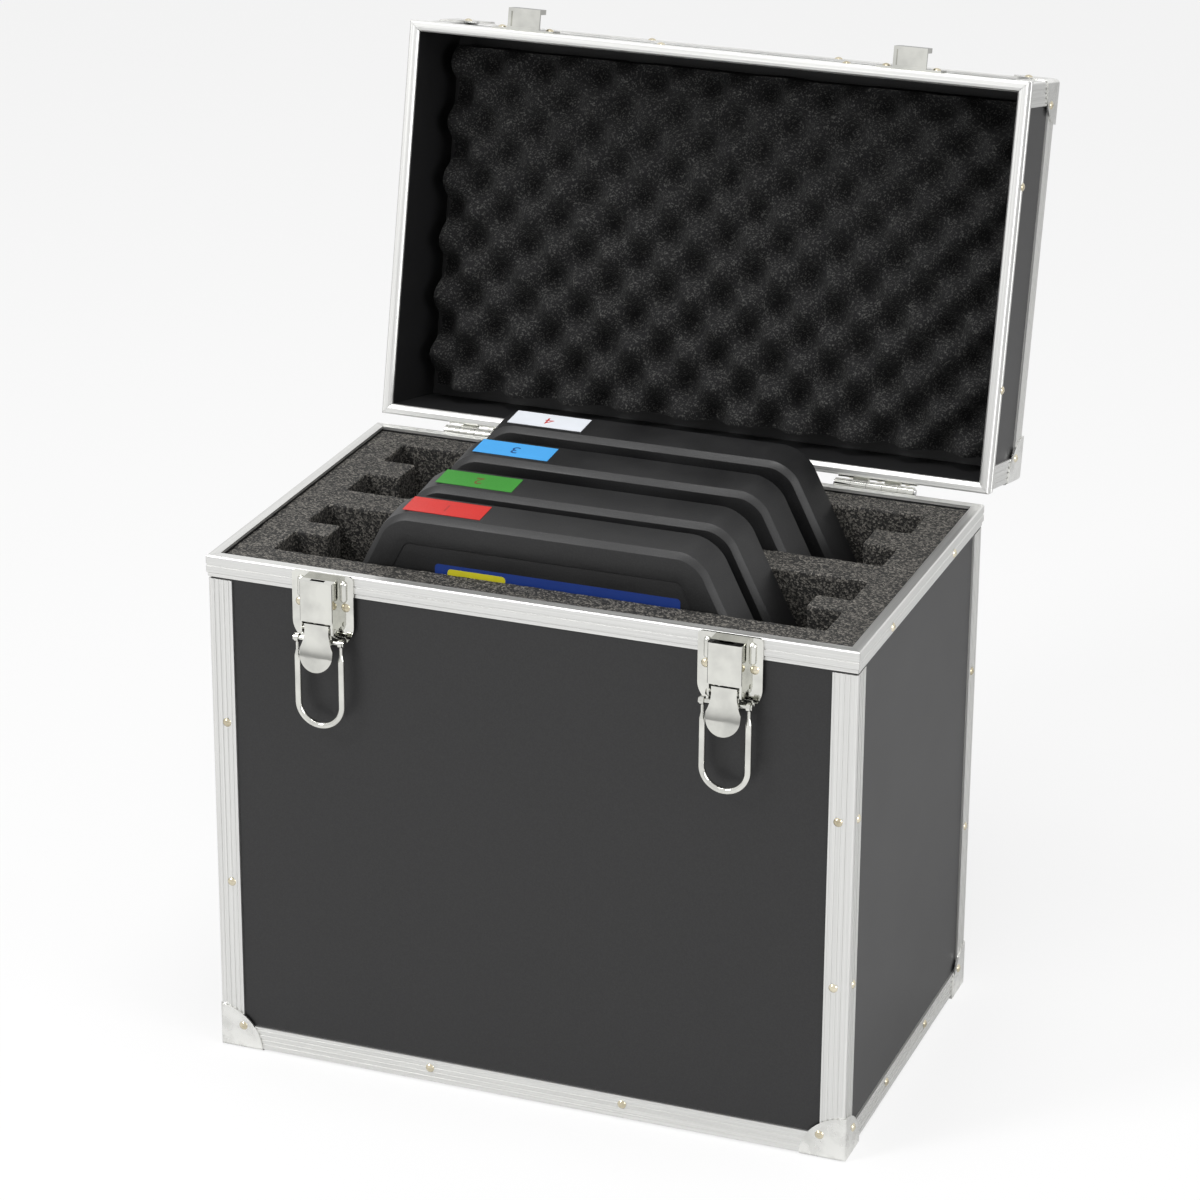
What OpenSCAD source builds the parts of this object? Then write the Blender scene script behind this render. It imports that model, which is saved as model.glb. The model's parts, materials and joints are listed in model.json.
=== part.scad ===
// Carrying case with a hinged lid, two draw latches and a lift handle, holding
// four scale pads that stand on edge in a foam insert. The case stands open:
// its lid leans back on the hinge stops and the latch loops hang down.
// Millimetres, +Z up, front of the case towards -Y. The origin is the centre of
// the case's footprint, on the plane that the four foot caps stand on.

/* [Case] */
// Width of the case, across its rims
case_w = 455; // [445:5:500]
// Depth of the case, front to back, across its rims
case_d = 283; // [283:1:310]
// Height of the body's rim above the ground
case_h = 366; // [350:2:390]
// Depth of the lid, from its rim to the outer face of its caps
lid_h = 85.5; // [75:0.5:110]
// Thickness of the laminated panels
panel_t = 5; // [4:0.5:5]
// Angle that the lid has opened from closed
lid_open = 102.3; // [90:0.1:110]

/* [Edging] */
// Visible height of the rim extrusions
rim_h = 16.3; // [14.5:0.1:18]
// Width of the rims seen from above
rim_w = 7.5; // [7.5:0.5:9]
// Leg width of the corner angles
angle_leg = 17; // [14:0.5:22]
// Wall thickness of the corner angles
angle_t = 1.5; // [1.2:0.1:1.5]
// Reach of a corner cap along each edge
cap_reach = 32; // [26:1:38]

/* [Hardware] */
// Distance of each latch from the middle of the case
latch_x = 142; // [110:1:160]
// Width of a latch's back plate
latch_w = 44; // [42:1:48]
// Length of a latch loop, from its pivot to the middle of its bar
loop_len = 61; // [61:1:61]
// Distance of each hinge from the middle of the case
hinge_x = 147; // [110:1:170]
// Length of a hinge
hinge_len = 57; // [50:1:70]
// Width of the handle, between the middles of its two arms
handle_w = 104; // [90:2:140]

/* [Scale pads] */
// Width and height of a pad across its back edge
pad_size = 381; // [375:1:382]
// Thickness of a pad
pad_t = 32; // [30:0.5:32]
// Half the length of a pad's straight top edge
pad_top = 110; // [90:1:130]
// Height lost along each sloping shoulder
pad_drop = 161; // [140:1:170]
// Distance that the pads sit left of the middle
pad_shift = 2.5; // [0:0.5:3]

/* [Foam] */
// Gap between neighbouring peaks of the lid's egg-crate foam, along a row
egg_pitch = 42.5; // [36:0.5:50]
// Height of the peaks above the hollows
egg_depth = 24; // [15:1:28]

/* [Hidden] */
$fn = 48;

// Clearance left between glued or seated pieces
fit = 0.1;
// The angles stand this far inside the rims
angle_in = 1;
// Outer faces of the panels, from the rim faces
panel_in = angle_in + angle_t;
// Half sizes: outside of the rims, outside of the panels and inside of the panels
rim_x = case_w / 2;
rim_y = case_d / 2;
skin_x = rim_x - panel_in;
skin_y = rim_y - panel_in;
room_x = skin_x - panel_t;
room_y = skin_y - panel_t;
// Sheet of the corner caps, and the radius pressed into their edges
cap_t = 1.2;
cap_edge_r = 3.5;
// Underside and thickness of the base panel
base_z = cap_t + angle_t;
base_t = 6;
// Walls of the rim extrusions over the panels' edges
rim_top_t = 2;
rim_leg_t = panel_in;
// The closed lid's rim plane, and the lid's depth under its caps
lid_gap = 0.3;
lid_z = case_h + lid_gap;
lid_rail_z = lid_z + lid_h - cap_t;
lid_skin_z = lid_rail_z - angle_t;
lid_ceiling_z = lid_skin_z - panel_t;

// Rivets: button heads with a short shank in the outermost sheet
rivet_r = 3.1;
rivet_dome = 1.6;
shank_r = 1.6;
shank_l = 1.2;

// Hinge line, knuckles and pins
pin_y = rim_y + 5.5;
pin_z = case_h - 0.8;
knuckle_r = 3.6;
pin_r = 1.75;
pin_bore_r = 1.8;
leaf_t = 1.5;
leaf_h = 16;
knuckle_count = 5;
knuckle_gap = 0.3;
knuckle_l = (hinge_len - (knuckle_count - 1) * knuckle_gap) / knuckle_count;

// Latches, in their own frame: origin on the rim's face at its top edge,
// outwards is -Y, down is -Z
plate_t = 1.5;
plate_h = 51;
lobe_r = 16;
house_w = 23.4;
house_d = 12;
house_t = 1.4;
house_top = 2.4;
house_bottom = 30.7;
pivot_y = -8.5;
pivot_z = -37;
loop_pivot_z = pivot_z - 8;
lug_r = 4;
lever_pin_r = 1.6;
loop_pin_r = 1.5;
running = 0.06;
tongue_t = 1.6;
tongue_y = -12.5;
tongue_top = -32.5;
tongue_end_r = 11.8;
tongue_end_z = -53.2;
tongue_waist_r = 30;
tongue_waist_x = 8.6;
tongue_curl_r = 120;
wire_r = 2.3;
loop_r = 15.7;
latch_rivet_x = 16.5;
latch_rivet_z = -22;

// Strikes, in the same frame: heights are above the rim's top edge when closed
strike_w = 24;
strike_low = lid_gap + 3;
strike_r = loop_r - wire_r - 0.4;
strike_mid = loop_pivot_z + loop_len - loop_r;
strike_y = 12.2;
strike_lip = 3.4;
strike_lip_top = 17.5;
strike_rivet_x = 18;

// Handle on the lid's outer face
handle_lift = 9;
handle_reach = 30;
handle_wire_r = 3;
handle_grip_r = 7.6;
handle_y = -14;
bracket_w = 8;
bracket_x = handle_w / 2 + handle_wire_r + 0.4 + bracket_w / 2;
bracket_plate = [26, 36, 1.5];
handle_hang = lid_open - 90;

// Foam insert: top, floor and the walls of its two double pockets, front to back
foam_top = case_h - 3;
foam_floor_top = 21;
pocket_x = pad_size / 2 + 3.5;
finger_x = pocket_x - 24.5;
front_wall_y = -107;
divider_front = -17.5;
divider_back = 13.5;
rear_wall_y = 111;
finger_1 = [-73, -51.5];
finger_2 = [48, 77];
pad_y = [-106, -50.5, 14.5, 78];

// Scale pads, in their own frame: centre of the outline, front face at y = 0
pad_bevel = 3.9;
pad_draft = 2;
pad_half = pad_size / 2;
pad_z = foam_floor_top + 0.2 + pad_half;
pad_slope = atan2(pad_half - pad_top, pad_drop);
deck_corner_r = 20;
back_corner_r = 26;
deck_face_t = 7;
deck_wall_t = 9;
rib_h = 8;
rib_t = 5;
rib_pitch = 62;
grip_inset = 22;
grip_depth = 0.6;
base_plate_t = 3;
base_inset = 5;
cell_size = [90, 10, 20];
cell_x = 85;
cell_z = 110;
foot_x = 118;
foot_r = 14.2;
foot_proud = 0.5;
label_x = -101;
label_w = 55;
label_d = 21.5;
label_in = 4;
label_t = 0.3;
label_colours = ["#d5332d", "#469139", "#5ab4f0", "#eef2f8"];

// Egg-crate foam: margin round it, length of one mesh step and where a peak lies
egg_margin = 10;
egg_steps = 6.4;
egg_peak_z = lid_z + 39.5;
egg_phase = [6.5, 15];

aluminium = "#dcdcda";
chrome = "#e9eaec";
laminate = "#343435";
foam = "#2b2b2b";
rivet_nickel = "#c9bd9a";

// ---------------------------------------------------------------- helpers

// Puts the closed lid's pieces where the open lid is
module on_lid() {
    translate([0, pin_y, pin_z])
        rotate([-lid_open, 0, 0])
            translate([0, -pin_y, -pin_z])
                children();
}

// Box from one corner to the opposite one
module block(low, high) {
    translate(low)
        cube(high - low);
}

// The same piece on the left and right of the case
module left_and_right(x) {
    translate([-x, 0, 0]) children();
    translate([x, 0, 0]) children();
}

// A child piece in each of the four vertical corners, mirrored to face inwards.
// The child's own corner is at the origin and it reaches towards +X and +Y.
module four_corners(x, y) {
    for (sx = [0, 1], sy = [0, 1])
        mirror([sx, 0, 0])
            mirror([0, sy, 0])
                translate([-x, -y, 0])
                    children();
}

// Four mitred bars round a rectangle: children are the front bar and the side bar
module four_bars(w, d) {
    for (turn = [0, 180]) {
        rotate(turn) translate([0, -d / 2, 0]) children(0);
        rotate(turn + 90) translate([0, -w / 2, 0]) children(1);
    }
}

// A bar of a given length along X with 45 degree mitres; the child is its section,
// drawn with the outer face at x = 0 and the outer corner at the origin
module mitred_bar(length, deep) {
    half = length / 2 - fit;
    intersection() {
        rotate([90, 0, 90])
            linear_extrude(length, center = true)
                children();
        linear_extrude(4 * deep, center = true)
            polygon([[-half, 0], [half, 0], [half - deep, deep], [-half + deep, deep]]);
    }
}

// Section of the body's rim: flange over the panel and a stepped, grooved skirt
module body_rim_section() {
    polygon([
        [0.8, 0], [rim_w, 0], [rim_w, -rim_top_t], [rim_leg_t, -rim_top_t],
        [rim_leg_t, -rim_h], [0.9, -rim_h], [0.9, -rim_h + 3.7], [0, -rim_h + 4.5],
        [0, -7.6], [0.5, -7.3], [0.5, -6.3], [0, -6], [0, -0.8]
    ]);
}

// Section of the lid's rim: the same skirt under a rounded bead that meets the body
module lid_rim_section() {
    polygon([
        [0.4, 0.5], [1.2, 0], [4.4, 0], [6.2, 0.5], [rim_w - 0.3, 1.6], [rim_w, 2.4],
        [rim_w, 3.2], [rim_leg_t, 3.2], [rim_leg_t, rim_h], [0.9, rim_h],
        [0.9, rim_h - 3.4], [0, rim_h - 4.2], [0, 9], [0.6, 8.6], [0.6, 7.4], [0, 7], [0, 1.4]
    ]);
}

// Section of the corner angles: two thin legs with fine grooves along them
module angle_section(leg = angle_leg) {
    groove = [1.2, 0.35];
    difference() {
        square(leg);
        translate([angle_t, angle_t]) square(leg);
        for (at = [4 : 3.5 : leg - 2]) {
            translate([at, -0.01]) square(groove);
            translate([-0.01, at]) square([groove[1], groove[0]]);
        }
        difference() {
            translate([-1, -1]) square(2.2);
            translate([1.2, 1.2]) circle(r = 1.2);
        }
    }
}

// Pressed corner cap round three faces, its corner at the origin
module corner_cap() {
    difference() {
        intersection() {
            sphere(r = cap_reach);
            linear_extrude(cap_reach) cap_edge_outline();
            rotate([90, 0, 90]) linear_extrude(cap_reach) cap_edge_outline();
            rotate([0, -90, 0]) mirror([0, 0, 1]) linear_extrude(cap_reach) cap_edge_outline();
        }
        translate([cap_t, cap_t, cap_t]) cube(cap_reach);
    }
}

// Square with its corner at the origin rounded off
module cap_edge_outline() {
    difference() {
        square(cap_reach);
        difference() {
            translate([-1, -1]) square(cap_edge_r + 1);
            translate([cap_edge_r, cap_edge_r]) circle(r = cap_edge_r);
        }
    }
}

// Button-head rivet, its head towards +Z
module rivet() {
    ball_r = (rivet_r * rivet_r + rivet_dome * rivet_dome) / (2 * rivet_dome);
    intersection() {
        translate([0, 0, rivet_dome - ball_r]) sphere(r = ball_r);
        cylinder(r = rivet_r, h = rivet_dome);
    }
    translate([0, 0, -shank_l]) cylinder(r = shank_r, h = shank_l);
}

// Hole that takes a rivet's shank
module rivet_hole() {
    cylinder(r = shank_r + running, h = 6, center = true);
}

// Turns a child that faces +Z towards the front, the back, the left or the right
module facing(side) {
    rotate(side == "front" ? [90, 0, 0] : side == "back" ? [-90, 0, 0]
         : side == "left" ? [0, -90, 0] : [0, 90, 0])
        children();
}

// ---------------------------------------------------------------- rivet places

angle_x = rim_x - angle_in;
angle_y = rim_y - angle_in;
post_rivet_in = angle_leg * 0.62;
cap_rivet_in = cap_reach * 0.56;
post_rivets = [case_h / 3 + 5, case_h * 2 / 3 + 2];

// Every rivet through the posts, rails, rims and caps of the body
module body_rivet_places() {
    for (z = post_rivets, s = [-1, 1]) {
        translate([s * (angle_x - post_rivet_in), -angle_y, z]) facing("front") children();
        translate([s * (angle_x - post_rivet_in), angle_y, z]) facing("back") children();
        translate([-angle_x, s * (angle_y - post_rivet_in), z]) facing("left") children();
        translate([angle_x, s * (angle_y - post_rivet_in), z]) facing("right") children();
    }
    for (s = [-1, 1]) {
        translate([s * 70, -angle_y, cap_t + angle_leg * 0.62]) facing("front") children();
        translate([s * 70, angle_y, cap_t + angle_leg * 0.62]) facing("back") children();
        translate([-angle_x, s * 45, cap_t + angle_leg * 0.62]) facing("left") children();
        translate([angle_x, s * 45, cap_t + angle_leg * 0.62]) facing("right") children();
        translate([-rim_x, s * 70, case_h - 10]) facing("left") children();
        translate([rim_x, s * 70, case_h - 10]) facing("right") children();
    }
    cap_x = angle_x + cap_t;
    cap_y = angle_y + cap_t;
    for (s = [-1, 1]) {
        translate([s * (cap_x - cap_rivet_in), -cap_y, cap_rivet_in]) facing("front") children();
        translate([s * (cap_x - cap_rivet_in), cap_y, cap_rivet_in]) facing("back") children();
        translate([-cap_x, s * (cap_y - cap_rivet_in), cap_rivet_in]) facing("left") children();
        translate([cap_x, s * (cap_y - cap_rivet_in), cap_rivet_in]) facing("right") children();
    }
}

// Rivets through the latch plates and through the body's hinge leaves
module latch_rivet_places() {
    for (side = [-1, 1], s = [-1, 1])
        translate([side * latch_x + s * latch_rivet_x, -rim_y - plate_t, case_h + latch_rivet_z])
            facing("front") children();
}

module hinge_rivet_places(z) {
    for (side = [-1, 1], s = [-1, 0, 1])
        translate([side * hinge_x + s * hinge_len * 0.36, rim_y + leaf_t, z])
            facing("back") children();
}

// Every rivet through the closed lid's rims, rails and caps
module lid_rivet_places() {
    for (x = [-41, 95])
        translate([x, -rim_y, lid_z + 11]) facing("front") children();
    for (s = [-1, 1]) {
        translate([-rim_x, s * 70, lid_z + 11]) facing("left") children();
        translate([rim_x, s * 70, lid_z + 11]) facing("right") children();
        translate([s * 70, -angle_y, lid_rail_z - angle_leg * 0.62]) facing("front") children();
        translate([s * 70, angle_y, lid_rail_z - angle_leg * 0.62]) facing("back") children();
    }
    cap_x = angle_x + cap_t;
    cap_y = angle_y + cap_t;
    cap_z = lid_z + lid_h;
    for (s = [-1, 1]) {
        translate([s * (cap_x - cap_rivet_in), -cap_y, cap_z - cap_rivet_in]) facing("front") children();
        translate([s * (cap_x - cap_rivet_in), cap_y, cap_z - cap_rivet_in]) facing("back") children();
        translate([-cap_x, s * (cap_y - cap_rivet_in), cap_z - cap_rivet_in]) facing("left") children();
        translate([cap_x, s * (cap_y - cap_rivet_in), cap_z - cap_rivet_in]) facing("right") children();
        for (t = [-1, 1])
            translate([s * (cap_x - cap_rivet_in), t * (cap_y - cap_rivet_in), cap_z]) children();
    }
}

// Rivets through the strikes' plates
module strike_rivet_places() {
    for (side = [-1, 1], s = [-1, 1])
        translate([side * latch_x + s * strike_rivet_x, -rim_y - plate_t, lid_z + 9])
            facing("front") children();
}

// Rivets through the handle brackets
module bracket_rivet_places() {
    for (side = [-1, 1], t = [-1, 1])
        translate([side * bracket_x, handle_y + t * 12.5, lid_skin_z + bracket_plate[2]])
            children();
}

// ---------------------------------------------------------------- body of the case

module base_panel() {
    color(laminate)
        block([-room_x + fit, -room_y + fit, base_z], [room_x - fit, room_y - fit, base_z + base_t]);
}

module front_panel() {
    color(laminate)
        block([-skin_x, -skin_y, base_z], [skin_x, -room_y, case_h - rim_top_t - fit]);
}

module rear_panel() {
    color(laminate)
        block([-skin_x, room_y, base_z], [skin_x, skin_y, case_h - rim_top_t - fit]);
}

module side_panel() {
    block([-skin_x, -room_y + fit, base_z], [-room_x, room_y - fit, case_h - rim_top_t - fit]);
}

module left_panel() {
    color(laminate) side_panel();
}

module right_panel() {
    color(laminate) mirror([1, 0, 0]) side_panel();
}

// Vertical corner angles between the base rails and the rims
module corner_posts() {
    color(aluminium)
        difference() {
            four_corners(angle_x, angle_y)
                translate([0, 0, cap_t + angle_leg + fit])
                    linear_extrude(case_h - rim_h - cap_t - angle_leg - 2 * fit)
                        angle_section();
            body_rivet_places() rivet_hole();
        }
}

// Mitred angles round the bottom edges
module base_rails() {
    color(aluminium)
        difference() {
            translate([0, 0, cap_t])
                four_bars(2 * angle_x, 2 * angle_y) {
                    mitred_bar(2 * angle_x, angle_leg) angle_section();
                    mitred_bar(2 * angle_y, angle_leg) angle_section();
                }
            body_rivet_places() rivet_hole();
        }
}

// Mitred rim round the body's mouth
module body_rims() {
    color(aluminium)
        difference() {
            translate([0, 0, case_h])
                four_bars(case_w, case_d) {
                    mitred_bar(case_w, rim_w) body_rim_section();
                    mitred_bar(case_d, rim_w) body_rim_section();
                }
            body_rivet_places() rivet_hole();
            hinge_rivet_places(pin_z - leaf_h + 5) rivet_hole();
        }
}

module foot_caps() {
    color(chrome)
        difference() {
            four_corners(angle_x + cap_t, angle_y + cap_t) corner_cap();
            body_rivet_places() rivet_hole();
        }
}

module body_rivets() {
    color(rivet_nickel) {
        body_rivet_places() rivet();
        latch_rivet_places() rivet();
        hinge_rivet_places(pin_z - leaf_h + 5) rivet();
    }
}

// ---------------------------------------------------------------- hinges

// Knuckles of one leaf, along X about the hinge line, with the straps that wrap
// round from the leaf's plate; the leaf reaches down the rim
module hinge_leaf(knuckles) {
    for (i = knuckles)
        translate([-hinge_len / 2 + i * (knuckle_l + knuckle_gap), 0, 0])
            rotate([90, 0, 90])
                linear_extrude(knuckle_l)
                    difference() {
                        union() {
                            circle(r = knuckle_r);
                            polygon([[-5.5, -7], [-4, -7], [0, -knuckle_r], [0, -2.2], [-3.2, -2.2], [-5.5, -4.2]]);
                        }
                        circle(r = pin_bore_r);
                    }
    translate([-hinge_len / 2, -5.5, -leaf_h])
        cube([hinge_len, leaf_t, leaf_h - 5]);
}

module hinge_leaves_body() {
    color(chrome)
        difference() {
            translate([0, pin_y, pin_z])
                left_and_right(hinge_x) hinge_leaf([0, 2, 4]);
            hinge_rivet_places(pin_z - leaf_h + 5) rivet_hole();
        }
}

module hinge_leaves_lid() {
    color(chrome)
        on_lid()
            difference() {
                translate([0, pin_y, pin_z])
                    left_and_right(hinge_x) mirror([0, 0, 1]) hinge_leaf([1, 3]);
                hinge_rivet_places(pin_z + leaf_h - 5) rivet_hole();
            }
}

module hinge_pins() {
    color(chrome)
        translate([0, pin_y, pin_z])
            left_and_right(hinge_x)
                rotate([0, 90, 0]) {
                    cylinder(r = pin_r, h = hinge_len + 1, center = true);
                    for (end = [-1, 1])
                        translate([0, 0, end * (hinge_len / 2 + 0.7)])
                            cylinder(r = 2.3, h = 0.8, center = true);
                }
}

// ---------------------------------------------------------------- latches

module at_latch(side) {
    translate([side * latch_x, -rim_y, case_h]) children();
}

// Outline of the back plate: square shoulders above, two round lobes below
module latch_plate_outline() {
    lobe_x = latch_w / 2 - lobe_r;
    difference() {
        union() {
            translate([-latch_w / 2, -plate_h + lobe_r]) square([latch_w, plate_h - lobe_r - 3]);
            translate([-latch_w / 2 + 3, -4]) square([latch_w - 6, 4]);
            translate([-lobe_x, -plate_h]) square([2 * lobe_x, lobe_r + 1]);
            for (s = [-1, 1]) {
                translate([s * lobe_x, -plate_h + lobe_r]) circle(r = lobe_r);
                translate([s * (latch_w / 2 - 3), -3]) circle(r = 3);
            }
        }
        for (s = [-1, 1])
            translate([s * latch_rivet_x, latch_rivet_z]) circle(r = shank_r + running);
    }
}

// Plan of the folded cover: a U with round front corners
module latch_house_plan(inset) {
    half = house_w / 2 - inset;
    front = -plate_t - house_d + inset;
    corner = 1.8 - inset / 2;
    translate([-half, front + corner]) square([2 * half, -plate_t - front - corner]);
    translate([-half + corner, front]) square([2 * half - 2 * corner, corner * 1.5]);
    for (s = [-1, 1])
        translate([s * (half - corner), front + corner]) circle(r = corner);
}

// Back plate with its folded cover, the two pivot lugs and the pressed side ribs
module latch_plate() {
    rotate([90, 0, 0])
        linear_extrude(plate_t)
            latch_plate_outline();
    difference() {
        translate([0, 0, -house_bottom])
            linear_extrude(house_bottom - house_top)
                latch_house_plan(0);
        translate([0, 0, -house_bottom - 1])
            linear_extrude(house_bottom - house_top - house_t + 1)
                latch_house_plan(house_t);
        block([-5, -plate_t - house_d + 3, -house_top - house_t - 1], [5, -plate_t - house_d + 6, 0]);
    }
    for (s = [-1, 1]) {
        translate([s * (house_w / 2 - house_t / 2), 0, 0])
            rotate([90, 0, 90])
                linear_extrude(house_t, center = true)
                    difference() {
                        union() {
                            translate([pivot_y - lug_r, pivot_z]) square([lug_r - pivot_y - plate_t, -pivot_z - house_bottom + 1]);
                            translate([pivot_y, pivot_z]) circle(r = lug_r);
                        }
                        translate([pivot_y, pivot_z]) circle(r = lever_pin_r + running);
                    }
        pressed_rib(s);
    }
}

// Half-round rib pressed out of the plate beside the cover
module pressed_rib(s) {
    rib_r = 2.6;
    translate([s * (house_w / 2 + rib_r + 0.9), -plate_t, 0])
        intersection() {
            union() {
                translate([0, 0, -16]) cylinder(r = rib_r, h = 10);
                translate([0, 0, -6]) sphere(r = rib_r);
                translate([0, 0, -16]) sphere(r = rib_r);
            }
            translate([-rib_r, -rib_r, -20]) cube([2 * rib_r, rib_r, 20]);
        }
}

module latch_plate_left() {
    color(chrome) at_latch(-1) latch_plate();
}

module latch_plate_right() {
    color(chrome) at_latch(1) latch_plate();
}

// Outline of the finger tongue: narrow waist, flared round end
module tongue_outline() {
    difference() {
        union() {
            translate([-tongue_end_r, tongue_end_z])
                square([2 * tongue_end_r, tongue_top - tongue_end_z]);
            translate([0, tongue_end_z]) circle(r = tongue_end_r);
        }
        for (s = [-1, 1])
            translate([s * (tongue_waist_x + tongue_waist_r), tongue_top - 4])
                circle(r = tongue_waist_r);
    }
}

// Lever: curved tongue, two cheeks, the pivot pin and the loop's cross pin
module latch_lever() {
    cheek_x = 7.2;
    cheek_t = 1.4;
    intersection() {
        translate([0, tongue_y + 8, 0])
            rotate([90, 0, 0])
                linear_extrude(16)
                    tongue_outline();
        translate([0, tongue_y - tongue_curl_r, tongue_top])
            rotate([0, 90, 0])
                difference() {
                    cylinder(r = tongue_curl_r + tongue_t, h = 30, center = true, $fn = 180);
                    cylinder(r = tongue_curl_r, h = 32, center = true, $fn = 180);
                }
    }
    for (s = [-1, 1])
        translate([s * cheek_x, pivot_y, pivot_z])
            rotate([90, 0, 90])
                linear_extrude(cheek_t, center = true) {
                    circle(r = 3.6);
                    translate([0, -8]) circle(r = 3);
                    polygon([[-2.9, 4], [0, 3.6], [3, -8], [0, -11], [-3.4, -14]]);
                }
    translate([0, pivot_y, pivot_z])
        rotate([0, 90, 0])
            cylinder(r = lever_pin_r, h = house_w + 1, center = true);
    translate([0, pivot_y, loop_pivot_z])
        rotate([0, 90, 0]) {
            cylinder(r = loop_pin_r, h = 2 * loop_r + 4, center = true);
            for (end = [-1, 1])
                translate([0, 0, end * (loop_r + 2)])
                    cylinder(r = 2.2, h = 0.9, center = true);
        }
}

module latch_lever_left() {
    color(chrome) at_latch(-1) latch_lever();
}

module latch_lever_right() {
    color(chrome) at_latch(1) latch_lever();
}

// Wire loop: flattened eyes on the cross pin, drawn-down necks, round bottom
module latch_bail() {
    straight = loop_len - loop_r;
    neck_r = 1.2;
    translate([0, pivot_y, loop_pivot_z]) {
        for (s = [-1, 1])
            translate([s * loop_r, 0, 0])
                difference() {
                    union() {
                        rotate([0, 90, 0])
                            cylinder(r = 2.9, h = 2.6, center = true);
                        rotate_extrude()
                            polygon([
                                [0, -straight], [wire_r, -straight], [wire_r, -12],
                                [neck_r, -8], [neck_r, -2], [0, -2]
                            ]);
                    }
                    rotate([0, 90, 0])
                        cylinder(r = loop_pin_r + running, h = 8, center = true);
                }
        translate([0, 0, -straight])
            rotate([90, 0, 0])
                rotate([0, 0, 180])
                    rotate_extrude(angle = 180)
                        translate([loop_r, 0]) circle(r = wire_r);
    }
}

module latch_bail_left() {
    color(chrome) at_latch(-1) latch_bail();
}

module latch_bail_right() {
    color(chrome) at_latch(1) latch_bail();
}

// Strike: riveted plate, D-shaped post that the loop pulls down on, outer lip
// and a dished underside
module strike() {
    plate_low = lid_gap + 2;
    plate_high = lid_gap + 16;
    difference() {
        union() {
            rotate([90, 0, 0])
                linear_extrude(plate_t)
                    difference() {
                        translate([-latch_w / 2 - 1, plate_low]) square([latch_w + 2, plate_high - plate_low]);
                        for (s = [-1, 1])
                            translate([s * strike_rivet_x, lid_gap + 9]) circle(r = shank_r + running);
                    }
            rotate([90, 0, 0])
                linear_extrude(strike_y)
                    strike_outline(strike_r);
            translate([0, -strike_y, 0])
                rotate([90, 0, 0])
                    linear_extrude(strike_lip)
                        strike_lip_outline();
        }
        block([-strike_w / 2 + 2.2, -strike_y - strike_lip + 2.2, strike_low - 1],
              [strike_w / 2 - 2.2, -plate_t - 1.2, strike_low + 1.6]);
    }
}

// Post under the loop's bar: flat underside, round top that follows the loop
module strike_outline(r) {
    intersection() {
        translate([0, strike_mid]) circle(r = r);
        translate([-strike_w / 2, strike_low]) square([strike_w, 40]);
    }
}

module strike_lip_outline() {
    corner = 3;
    translate([-strike_w / 2, strike_low]) square([strike_w, strike_lip_top - strike_low - corner]);
    translate([-strike_w / 2 + corner, strike_low]) square([strike_w - 2 * corner, strike_lip_top - strike_low]);
    for (s = [-1, 1])
        translate([s * (strike_w / 2 - corner), strike_lip_top - corner]) circle(r = corner);
}

module strikes() {
    color(chrome)
        on_lid()
            for (side = [-1, 1])
                at_latch(side) strike();
}

// ---------------------------------------------------------------- lid

module lid_top_panel() {
    color(laminate)
        on_lid()
            block([-room_x + fit, -room_y + fit, lid_ceiling_z], [room_x - fit, room_y - fit, lid_skin_z]);
}

module lid_front_wall() {
    color(laminate)
        on_lid()
            block([-skin_x, -skin_y, lid_z + 3.2 + fit], [skin_x, -room_y, lid_skin_z]);
}

module lid_rear_wall() {
    color(laminate)
        on_lid()
            block([-skin_x, room_y, lid_z + 3.2 + fit], [skin_x, skin_y, lid_skin_z]);
}

module lid_side_wall() {
    block([-skin_x, -room_y + fit, lid_z + 3.2 + fit], [-room_x, room_y - fit, lid_skin_z]);
}

module lid_left_wall() {
    color(laminate) on_lid() lid_side_wall();
}

module lid_right_wall() {
    color(laminate) on_lid() mirror([1, 0, 0]) lid_side_wall();
}

module lid_rims() {
    color(aluminium)
        on_lid()
            difference() {
                translate([0, 0, lid_z])
                    four_bars(case_w, case_d) {
                        mitred_bar(case_w, rim_w) lid_rim_section();
                        mitred_bar(case_d, rim_w) lid_rim_section();
                    }
                lid_rivet_places() rivet_hole();
            }
}

// Mitred angles round the lid's outer edges
module lid_edge_rails() {
    color(aluminium)
        on_lid()
            difference() {
                translate([0, 0, lid_rail_z])
                    mirror([0, 0, 1])
                        four_bars(2 * angle_x, 2 * angle_y) {
                            mitred_bar(2 * angle_x, angle_leg) angle_section();
                            mitred_bar(2 * angle_y, angle_leg) angle_section();
                        }
                lid_rivet_places() rivet_hole();
            }
}

// Short corner angles between the lid's rim and its edge rails
module lid_posts() {
    color(aluminium)
        on_lid()
            four_corners(angle_x, angle_y)
                translate([0, 0, lid_z + rim_h + fit])
                    linear_extrude(lid_h - cap_t - angle_leg - rim_h - 2 * fit)
                        angle_section();
}

module lid_caps() {
    color(chrome)
        on_lid()
            difference() {
                translate([0, 0, lid_z + lid_h])
                    mirror([0, 0, 1])
                        four_corners(angle_x + cap_t, angle_y + cap_t) corner_cap();
                lid_rivet_places() rivet_hole();
            }
}

module lid_rivets() {
    color(rivet_nickel)
        on_lid() {
            lid_rivet_places() rivet();
            strike_rivet_places() rivet();
            hinge_rivet_places(pin_z + leaf_h - 5) rivet();
            bracket_rivet_places() rivet();
        }
}

// Egg-crate foam: a height field over a slab, peaks towards the case. Its cut
// edge falls to the level of the hollows within a narrow border.
egg_x = room_x - egg_margin;
egg_y = room_y - egg_margin;
egg_border = 0.8;
egg_cols = round(2 * egg_x / egg_steps) + 2;
egg_rows = round(2 * egg_y / egg_steps) + 2;

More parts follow.
